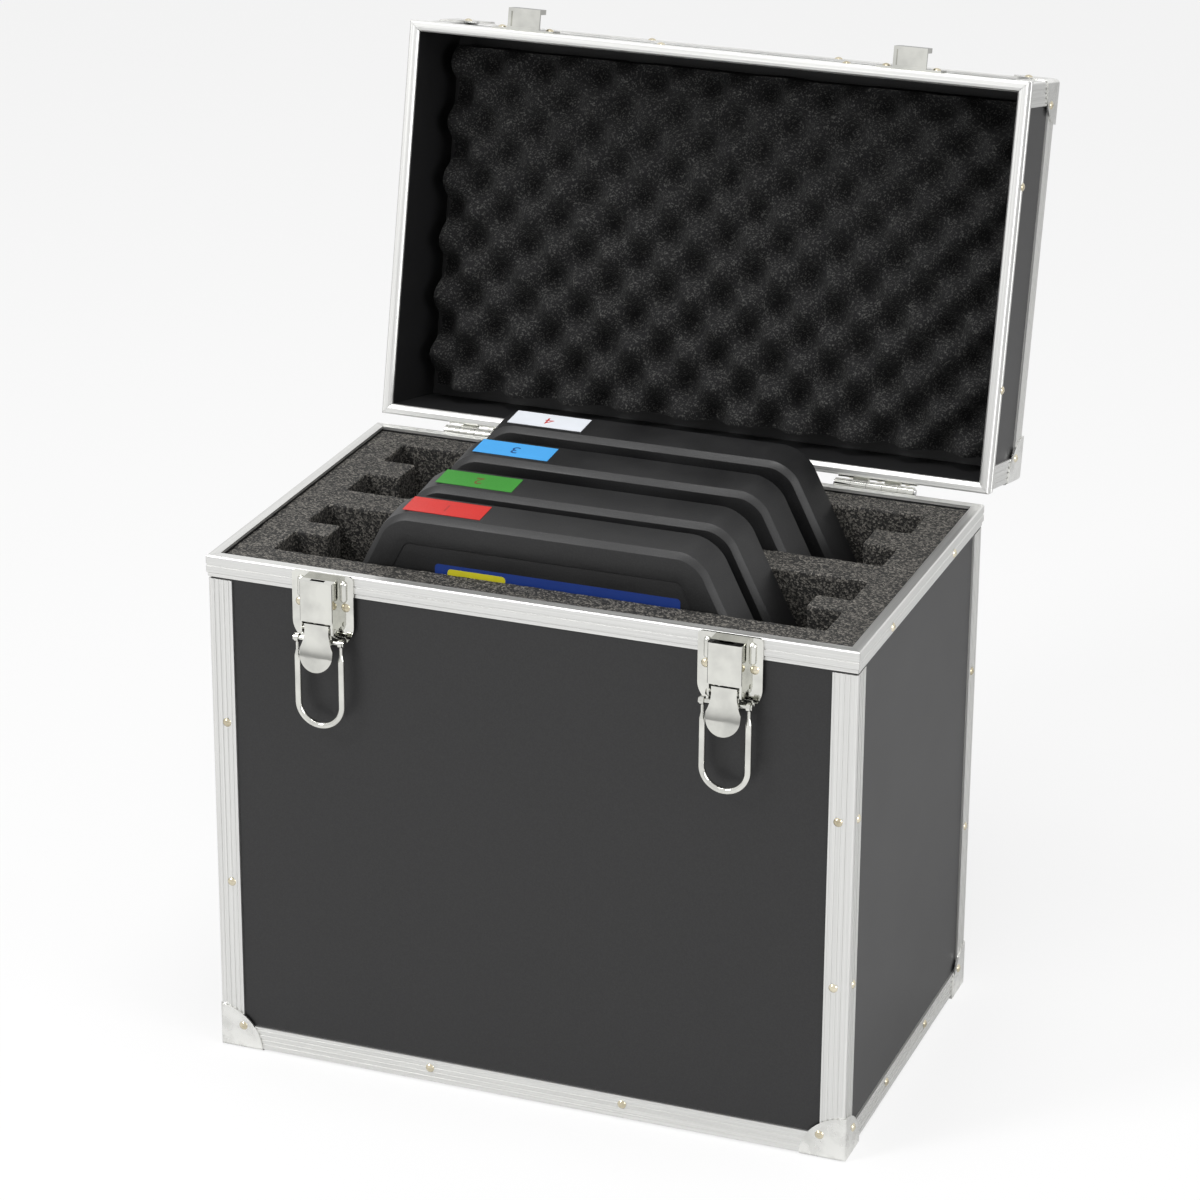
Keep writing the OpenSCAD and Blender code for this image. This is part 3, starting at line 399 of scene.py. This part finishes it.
# %% Finishes on the CAD solids
FINISHES = {
    laminate: "base_panel front_panel rear_panel left_panel right_panel lid_top_panel "
    "lid_front_wall lid_rear_wall lid_left_wall lid_right_wall",
    body_bars: "base_rails body_rims",
    body_uprights: "corner_posts",
    lid_bars: "lid_rims lid_edge_rails",
    lid_uprights: "lid_posts",
    satin_caps: "foot_caps lid_caps",
    chrome: "latch_plate_left latch_plate_right latch_lever_left latch_lever_right "
    "latch_bail_left latch_bail_right strikes hinge_leaves_body hinge_leaves_lid "
    "handle_brackets handle_bail",
    drawn_pin: "hinge_pins",
    warm_rivets: "body_rivets lid_rivets",
    cover_plastic: "pad_1_base pad_2_base pad_3_base pad_4_base",
    cell_metal: "pad_1_cells pad_2_cells pad_3_cells pad_4_cells",
    foot_rubber: "pad_1_feet pad_2_feet pad_3_feet pad_4_feet",
    labels["red"]: "pad_1_label",
    labels["green"]: "pad_2_label",
    labels["blue"]: "pad_3_label",
    labels["white"]: "pad_4_label",
}


def dress(node_name, finish):
    slots = nodes[node_name].material_slots
    for slot in slots:
        slot.material = finish
    if not slots:
        nodes[node_name].data.materials.append(finish)


for finish, names in FINISHES.items():
    for node_name in names.split():
        dress(node_name, finish)
print(sum(len(names.split()) for names in FINISHES.values()), "nodes dressed")

# %% [markdown]
# ## New pieces
# Each new piece is a bmesh that starts from a simple shape and is worked with the same
# operators as in Edit Mode. One helper closes the work: it merges doubles, turns the
# normals outwards, makes the object and shades it smooth except at its sharp edges.

# %% Helper that finishes a piece
SHARP_ANGLE = math.radians(35)


def finished(bm, name, finish, matrix=Matrix.Identity(4), merge=1e-6):
    """Turns a bmesh into a linked object with its place in its mesh."""
    bmesh.ops.remove_doubles(bm, verts=bm.verts[:], dist=merge)
    bmesh.ops.recalc_face_normals(bm, faces=bm.faces[:])
    bmesh.ops.transform(bm, matrix=matrix, verts=bm.verts[:])
    for face in bm.faces:
        face.smooth = True
    mesh = bpy.data.meshes.new(name)
    bm.to_mesh(mesh)
    bm.free()
    mesh.set_sharp_from_angle(angle=SHARP_ANGLE)
    mesh.materials.append(finish)
    piece = bpy.data.objects.new(name, mesh)
    scene.collection.objects.link(piece)
    return piece


def round_edges(bm, edges, radius, segments=2):
    """Bevels edges with a round profile."""
    bmesh.ops.bevel(
        bm, geom=edges, offset=radius, offset_type="OFFSET", segments=segments,
        profile=0.5, affect="EDGES", material=-1, clamp_overlap=True,
    )


def sharp_edges(bm, angle=math.radians(20)):
    """Edges whose two faces meet at more than an angle."""
    return [e for e in bm.edges if len(e.link_faces) == 2 and e.calc_face_angle() > angle]


# %% [markdown]
# ### Scale pad decks
# A deck is a thick cast plate with cut-off shoulders. Its front edge is bevelled at 45
# degrees, its walls lean inwards a little so that the casting leaves its mould, and the
# flat face has a shallow panel. The outline is drawn once as eight corners. Rounding the
# corners and insetting the face, each time a little further forward, then makes wall,
# bevel and panel in turn. The back gets the same treatment for its cover's recess.

# %% Scale pad decks
PAD_TOP = 110 * MM
PAD_DROP = 161 * MM
PAD_THICK = 32 * MM
PAD_DRAFT = 2 * MM
PAD_BEVEL = 3.9 * MM
TOP_CORNER_CUT = 16 * MM
KNEE_CUT = 6.1 * MM
PANEL_INSET = 22 * MM
PANEL_STEP = 0.6 * MM
COVER_INSET = 4.9 * MM
COVER_RECESS = 3.1 * MM
RECESS_LEAN = 0.05 * MM
CREST_RADIUS = 0.35 * MM


def inset(bm, face, thickness, depth):
    """Insets one face by thickness and moves it by depth along its normal."""
    bmesh.ops.inset_region(
        bm, faces=[face], thickness=thickness, depth=depth, use_even_offset=True, use_boundary=True
    )
    return face


def deck_mesh(size, thick):
    half = size / 2
    bm = bmesh.new()
    quarter = [(half, half - PAD_DROP), (PAD_TOP, half)]
    corners = quarter + [(-x, z) for x, z in quarter[::-1]]
    corners += [(-x, -z) for x, z in corners[:2]] + [(x, -z) for x, z in quarter[::-1]]
    bm.faces.new([bm.verts.new((x, thick, z)) for x, z in corners])
    for cut, steps, wanted in ((TOP_CORNER_CUT, 10, half), (KNEE_CUT, 5, half - PAD_DROP)):
        points = [v for v in bm.verts if abs(abs(v.co.z) - wanted) < 1e-6]
        bmesh.ops.bevel(
            bm, geom=points, offset=cut, offset_type="OFFSET", segments=steps,
            profile=0.5, affect="VERTICES", material=-1,
        )
    bm.faces.ensure_lookup_table()
    bm.normal_update()
    front = bm.faces[0]
    if front.normal.y > 0:
        bmesh.ops.reverse_faces(bm, faces=[front])
    rim = front.verts[:]
    inset(bm, front, PAD_DRAFT, thick - PAD_BEVEL)
    inset(bm, front, PAD_BEVEL, PAD_BEVEL)
    inset(bm, front, PANEL_INSET - PAD_DRAFT - PAD_BEVEL, 0)
    inset(bm, front, PANEL_STEP / 2, -PANEL_STEP)
    cover = bm.faces.new(rim)
    bm.normal_update()
    if cover.normal.y < 0:
        bmesh.ops.reverse_faces(bm, faces=[cover])
    inset(bm, cover, COVER_INSET, 0)
    inset(bm, cover, RECESS_LEAN, -COVER_RECESS)
    bmesh.ops.recalc_face_normals(bm, faces=bm.faces[:])
    level = [e for e in sharp_edges(bm) if abs(e.verts[0].co.y - e.verts[1].co.y) < 1e-6]
    crests = [e for e in level if min(abs(e.verts[0].co.y - y) for y in (0, PAD_BEVEL)) < 1e-5]
    round_edges(bm, crests, CREST_RADIUS)
    return bm


def pad_matrix(index):
    """Moves a piece from the pad's own frame to its place in the case."""
    low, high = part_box(f"pad_{index}_deck")
    return Matrix.Translation(((low.x + high.x) / 2, low.y, (low.z + high.z) / 2))


for index in range(1, 5):
    low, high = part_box(f"pad_{index}_deck")
    deck = finished(
        deck_mesh(high.x - low.x, high.y - low.y), f"pad_{index}_cast_deck", coating, pad_matrix(index)
    )
    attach(deck, f"pad_{index}")
    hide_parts(f"pad_{index}_deck")
print("decks", round((high.x - low.x) / MM), "mm square,", len(deck.data.polygons), "faces each")

# %% [markdown]
# ### Printed bands and numbers
# Each deck carries a plain blue band with a yellow field, and each sticker has the pad's
# number in ink, the right way up for someone who stands behind the case. Both are thin
# solids that lie on the surface below. A number starts as a text curve and becomes a mesh
# before it is moved.

# %% Bands
BAND_LEFT, BAND_RIGHT = -75 * MM, 97 * MM
BAND_TOP, BAND_LOW = 157 * MM, 118 * MM
FIELD_LEFT, FIELD_RIGHT, FIELD_DROP = -66 * MM, -25 * MM, 2.6 * MM
FILM = 0.12 * MM
FILM_CORNER = 2.5 * MM


def film(name, finish, left, right, low, high, front, matrix):
    """A thin printed film with rounded corners, its face towards -Y."""
    bm = bmesh.new()
    bmesh.ops.create_cube(bm, size=1.0)
    size = Matrix.Diagonal((right - left, FILM, high - low, 1))
    middle = Matrix.Translation(((left + right) / 2, front + FILM / 2, (low + high) / 2))
    bmesh.ops.transform(bm, matrix=middle @ size, verts=bm.verts[:])
    upright = [e for e in bm.edges if abs(e.verts[0].co.y - e.verts[1].co.y) > FILM / 2]
    round_edges(bm, upright, FILM_CORNER, 4)
    return finished(bm, name, finish, matrix)


for index in range(1, 5):
    matrix = pad_matrix(index)
    face = PANEL_STEP - FILM
    band = film(
        f"pad_{index}_blue_band", band_blue, BAND_LEFT, BAND_RIGHT, BAND_LOW, BAND_TOP, face, matrix
    )
    field = film(
        f"pad_{index}_yellow_field", band_yellow, FIELD_LEFT, FIELD_RIGHT, BAND_LOW + FIELD_DROP,
        BAND_TOP - FIELD_DROP, face - FILM, matrix,
    )
    for piece in (band, field):
        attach(piece, f"pad_{index}")
print("bands", round((BAND_RIGHT - BAND_LEFT) / MM), "mm wide")

# %% Numbers
DIGIT_HEIGHT = 10 * MM
INK = 0.03 * MM
INK_LIFT = 0.16 * MM
FONT_PER_DIGIT = 1.4
LABEL_SLOTS = ["red_label", "green_label", "blue_label", "white_label"]


def digit_mesh(text, height):
    """A closed, extruded text mesh, centred on the origin in the XY plane."""
    curve = bpy.data.curves.new("digit", "FONT")
    curve.body = text
    curve.size = height * FONT_PER_DIGIT
    curve.extrude = INK / 2
    curve.align_x = "CENTER"
    curve.align_y = "CENTER"
    holder = bpy.data.objects.new("digit", curve)
    scene.collection.objects.link(holder)
    depsgraph = bpy.context.evaluated_depsgraph_get()
    bm = bmesh.new()
    bm.from_mesh(holder.evaluated_get(depsgraph).to_mesh())
    bpy.data.objects.remove(holder)
    bpy.data.curves.remove(curve)
    return bm


for index, (colour, slot) in enumerate(zip(LABEL_CODES, LABEL_SLOTS), start=1):
    low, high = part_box(f"pad_{index}_label")
    lean = math.atan2(PAD_DRAFT, PAD_THICK - PAD_BEVEL)
    middle = (low + high) / 2 + Vector((0, 0, INK_LIFT))
    matrix = (
        Matrix.Translation(middle)
        @ Matrix.Rotation(lean, 4, "X")
        @ Matrix.Rotation(math.pi, 4, "Z")
    )
    digit = finished(digit_mesh(str(index), DIGIT_HEIGHT), f"pad_{index}_number", inks[colour], matrix)
    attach(digit, f"pad_{index}")
print("numbers", DIGIT_HEIGHT / MM, "mm high")

# %% [markdown]
# ### Foam insert
# The insert is one block of foam with two deep pockets, each with a finger of foam at both
# ends that keeps its two pads apart. A grid with uneven lines gives all of its corners:
# the cells inside the pockets are deleted, and the rest is extruded down. Its edges are
# rounded a little, then many cutting planes divide the top of the block, so that a slight
# random push can make the sawn surface uneven.

# %% Foam insert
FINGER_REACH = 24.5 * MM
POCKET_HALF = 194 * MM
FRONT_FINGER = (-73 * MM, -51.5 * MM)
REAR_FINGER = (48 * MM, 77 * MM)
SAW_STEP = 3 * MM
SAW_WOBBLE = 0.45 * MM
SAW_WAVE = 5 * MM
POCKET_CORNER = 2.0 * MM
BRIM_RADIUS = 1.0 * MM
WOBBLE_REACH = 40 * MM


def line_grid(bm, x_lines, y_lines):
    """A flat grid whose lines lie at these places."""
    bmesh.ops.create_grid(bm, x_segments=len(x_lines) - 1, y_segments=len(y_lines) - 1, size=0.5)
    for v in bm.verts:
        v.co.x = x_lines[round((v.co.x + 0.5) * (len(x_lines) - 1))]
        v.co.y = y_lines[round((v.co.y + 0.5) * (len(y_lines) - 1))]


def extrude_down(bm, depth):
    """Gives a flat sheet a thickness below it."""
    made = bmesh.ops.extrude_face_region(bm, geom=bm.faces[:], use_keep_orig=True)
    moved = [v for v in made["geom"] if isinstance(v, bmesh.types.BMVert)]
    bmesh.ops.translate(bm, verts=moved, vec=(0, 0, -depth))
    bmesh.ops.recalc_face_normals(bm, faces=bm.faces[:])


def slice_planes(bm, axis, places):
    """Cuts the mesh with planes across one axis."""
    normal = Vector((0, 0, 0))
    normal[axis] = 1
    for at in places:
        geom = bm.verts[:] + bm.edges[:] + bm.faces[:]
        bmesh.ops.bisect_plane(bm, geom=geom, dist=1e-5, plane_co=normal * at, plane_no=normal)


def wobble(bm, top, amount, size, reach):
    """Pushes the vertices near the top by a smooth random amount."""
    for v in bm.verts:
        share = max(0.0, 1 - (top - v.co.z) / reach)
        v.co += noise.noise_vector(v.co / size) * amount * share


front_low, front_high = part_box("foam_front_wall")
rear_low, rear_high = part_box("foam_rear_wall")
divider_low, divider_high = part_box("foam_divider")


def insert_mesh():
    bm = bmesh.new()
    finger = POCKET_HALF - FINGER_REACH
    x_lines = [front_low.x, -POCKET_HALF, -finger, finger, POCKET_HALF, front_high.x]
    y_lines = [
        front_low.y, front_high.y, *FRONT_FINGER, divider_low.y,
        divider_high.y, *REAR_FINGER, rear_low.y, rear_high.y,
    ]
    line_grid(bm, x_lines, y_lines)
    bmesh.ops.translate(bm, verts=bm.verts[:], vec=(0, 0, front_high.z))

    def in_pocket(face):
        x, y, _ = face.calc_center_median()
        inside = front_high.y < y < divider_low.y or divider_high.y < y < rear_low.y
        beside_finger = FRONT_FINGER[0] < y < FRONT_FINGER[1] or REAR_FINGER[0] < y < REAR_FINGER[1]
        return inside and abs(x) < (finger if beside_finger else POCKET_HALF)

    holes = [face for face in bm.faces if in_pocket(face)]
    bmesh.ops.delete(bm, geom=holes, context="FACES")
    extrude_down(bm, front_high.z - front_low.z)
    upright = [e for e in sharp_edges(bm) if abs(e.verts[0].co.z - e.verts[1].co.z) > 0.1]
    round_edges(bm, upright, POCKET_CORNER)
    brim = [e for e in sharp_edges(bm) if all(v.co.z > front_high.z - 1e-5 for v in e.verts)]
    round_edges(bm, brim, BRIM_RADIUS)
    width, depth = front_high.x - front_low.x, rear_high.y - front_low.y
    slice_planes(bm, 0, [front_low.x + k * SAW_STEP for k in range(1, int(width / SAW_STEP))])
    slice_planes(bm, 1, [front_low.y + k * SAW_STEP for k in range(1, int(depth / SAW_STEP))])
    slice_planes(bm, 2, [front_high.z - k * MM for k in (3, 6, 10, 15, 22, 30, 40)])
    wobble(bm, front_high.z, SAW_WOBBLE, SAW_WAVE, WOBBLE_REACH)
    return bm


insert = finished(insert_mesh(), "foam_insert", insert_foam)
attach(insert, "case_body")
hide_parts("foam_front_wall", "foam_divider", "foam_rear_wall", "foam_ends")
print("foam insert", len(insert.data.polygons), "faces")

# %% [markdown]
# The floor of the insert is a separate sheet of the same foam under the block.

# %% Foam floor
SLAB_STEP = 20 * MM
SLAB_CORNER = 1.5 * MM


def slab_mesh(low, high, radius):
    bm = bmesh.new()
    bmesh.ops.create_cube(bm, size=1.0)
    matrix = Matrix.Translation((low + high) / 2) @ Matrix.Diagonal((*(high - low), 1))
    bmesh.ops.transform(bm, matrix=matrix, verts=bm.verts[:])
    round_edges(bm, bm.edges[:], radius)
    slice_planes(bm, 0, [low.x + k * SLAB_STEP for k in range(1, 22)])
    slice_planes(bm, 1, [low.y + k * SLAB_STEP for k in range(1, 13)])
    wobble(bm, high.z, 0.3 * MM, 30 * MM, 5 * MM)
    return bm


foam_floor = finished(slab_mesh(*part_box("foam_floor"), SLAB_CORNER), "foam_floor_sheet", insert_foam)
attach(foam_floor, "case_body")
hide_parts("foam_floor")
print("foam floor", len(foam_floor.data.polygons), "faces")

# %% [markdown]
# ### Convoluted lid foam
# Convoluted foam is squeezed between studded rollers while a blade splits it, which leaves
# rows of round peaks with hollows between them. The product of two cosines is that
# surface. It is drawn on a fine grid in the closed lid, where its base is level, and then
# turned with the lid. A little noise keeps the peaks from being all alike.

# %% Convoluted lid foam
EGG_HALF_X, EGG_HALF_Y = 210 * MM, 124 * MM
EGG_PITCH = 42.5 * MM
EGG_DEPTH = 24 * MM
EGG_PEAK_X, EGG_PEAK_Y = 6.5 * MM, 15 * MM
EGG_PEAK_Z = 405.8 * MM
EGG_BACK_Z = 444.0 * MM
EGG_STEP = 2.6 * MM
EGG_UNEVEN = 0.9 * MM
EGG_WAVE = 22 * MM


def egg_mesh():
    bm = bmesh.new()
    columns, rows = round(2 * EGG_HALF_X / EGG_STEP), round(2 * EGG_HALF_Y / EGG_STEP)
    bmesh.ops.create_grid(bm, x_segments=columns, y_segments=rows, size=1.0)
    for v in bm.verts:
        v.co.x *= EGG_HALF_X
        v.co.y *= EGG_HALF_Y
        across = math.cos(math.tau * (v.co.x - EGG_PEAK_X) / EGG_PITCH)
        along = math.cos(math.tau * (v.co.y - EGG_PEAK_Y) / EGG_PITCH)
        v.co.z = EGG_PEAK_Z + EGG_DEPTH * (1 - across * along) / 2
        push = noise.noise_vector(v.co / EGG_WAVE) * EGG_UNEVEN
        v.co += Vector((push.x, push.y, abs(push.z)))
    made = bmesh.ops.extrude_face_region(bm, geom=bm.faces[:], use_keep_orig=True)
    for v in made["geom"]:
        if isinstance(v, bmesh.types.BMVert):
            v.co.z = EGG_BACK_Z
    bmesh.ops.recalc_face_normals(bm, faces=bm.faces[:])
    return bm


egg_foam = finished(egg_mesh(), "convoluted_lid_foam", lid_foam, OPEN_LID)
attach(egg_foam, "lid")
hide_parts("lid_foam")
print("lid foam", len(egg_foam.data.polygons), "faces")

# %% [markdown]
# ### Handle grip
# The grip is moulded round the handle's bar, with ridges for the fingers. A profile spun
# about the bar gives a shape that a lathe would, and the ridges are in the profile.

# %% Handle grip
GRIP_RIDGES = 4
GRIP_STEPS = 60
GRIP_TURNS = 40
GRIP_BORE = 3.06 * MM
GRIP_RIDGE = 0.9 * MM


def grip_mesh(length, outer, inner):
    bm = bmesh.new()
    points = [(0, inner)]
    for k in range(GRIP_STEPS + 1):
        share = k / GRIP_STEPS
        ridge = 0.5 - 0.5 * math.cos(math.tau * GRIP_RIDGES * share)
        end = min(1.0, math.sin(math.pi * share) * 6) ** 0.5
        points.append((share, inner + (outer - inner) * (0.35 + 0.65 * end) - GRIP_RIDGE * ridge * end))
    points.append((1, inner))
    verts = [bm.verts.new(((share - 0.5) * length, 0, radius)) for share, radius in points]
    edges = [bm.edges.new(pair) for pair in zip(verts, verts[1:])]
    edges.append(bm.edges.new((verts[-1], verts[0])))
    bmesh.ops.spin(
        bm, geom=verts + edges, cent=(0, 0, 0), axis=(1, 0, 0), angle=math.tau,
        steps=GRIP_TURNS, use_merge=True,
    )
    return bm


low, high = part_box("handle_grip")
grip = finished(
    grip_mesh(high.x - low.x, (high.z - low.z) / 2, GRIP_BORE),
    "handle_moulded_grip", grip_plastic, Matrix.Translation((low + high) / 2), merge=1e-5,
)
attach(grip, "handle")
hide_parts("handle_grip")
print("grip", round((high.x - low.x) / MM), "mm long")

# %% [markdown]
# ## Studio
# A white floor and a white surround with large soft lamps: a key light from the front
# left, a weaker fill from the right and a top light. The surround is plain white where the
# camera or a mirror-like surface sees it, and dimmer as a lamp, so that black surfaces keep
# their depth.

# %% Floor
FLOOR_HALF = 6.0
FLOOR_GLOW = 0.78
bm = bmesh.new()
bmesh.ops.create_grid(bm, x_segments=4, y_segments=4, size=FLOOR_HALF)
floor_paint, tree, shader = material("matte_white_floor", Roughness=0.9)
shader.inputs["Base Color"].default_value = linear("#f2f2f2")
path = add(tree, "LightPath")
glow = add(tree, "Emission", {"Color": (1, 1, 1, 1), "Strength": 1.0})
seen = add(tree, "Math", {0: path.outputs["Is Camera Ray"], 1: FLOOR_GLOW}, operation="MULTIPLY")
both = add(tree, "MixShader", {0: seen.outputs[0], 1: shader.outputs[0], 2: glow.outputs[0]})
tree.links.new(both.outputs[0], tree.nodes["Material Output"].inputs["Surface"])
floor = finished(bm, "floor", floor_paint)
print("floor", 2 * FLOOR_HALF, "m wide")

# %% Surround and lamps
SURROUND_LEVEL = 0.42
world = bpy.data.worlds.new("surround")
scene.world = world
world.use_nodes = True
tree = world.node_tree
tree.nodes.clear()
path = add(tree, "LightPath")
seen = add(
    tree, "Math", {0: path.outputs["Is Camera Ray"], 1: path.outputs["Is Transmission Ray"]},
    operation="MAXIMUM",
)
mirrored = add(
    tree, "Math", {0: seen.outputs[0], 1: path.outputs["Is Glossy Ray"]}, operation="MAXIMUM"
)
lamp = add(tree, "Background", {"Color": (1, 1, 1, 1), "Strength": SURROUND_LEVEL})
backdrop = add(tree, "Background", {"Color": (1, 1, 1, 1), "Strength": 1.0})
both = add(tree, "MixShader", {0: mirrored.outputs[0], 1: lamp.outputs[0], 2: backdrop.outputs[0]})
add(tree, "OutputWorld", {"Surface": both.outputs[0]})

LAMPS = {
    "key": ((-1.6, -1.9, 2.4), 0.9, 46),
    "fill": ((2.4, -0.9, 1.0), 1.6, 24),
    "top": ((0.1, -0.2, 2.6), 1.2, 26),
}
TARGET = Vector((0, 0, 0.3))
for name, (at, size, power) in LAMPS.items():
    light = bpy.data.lights.new(name, "AREA")
    light.shape = "DISK"
    light.size = size
    light.energy = power
    lamp_object = bpy.data.objects.new(name, light)
    scene.collection.objects.link(lamp_object)
    lamp_object.location = at
    lamp_object.rotation_euler = (TARGET - Vector(at)).to_track_quat("-Z", "Y").to_euler()
scene.view_settings.view_transform = "Standard"
print(len(LAMPS), "lamps")
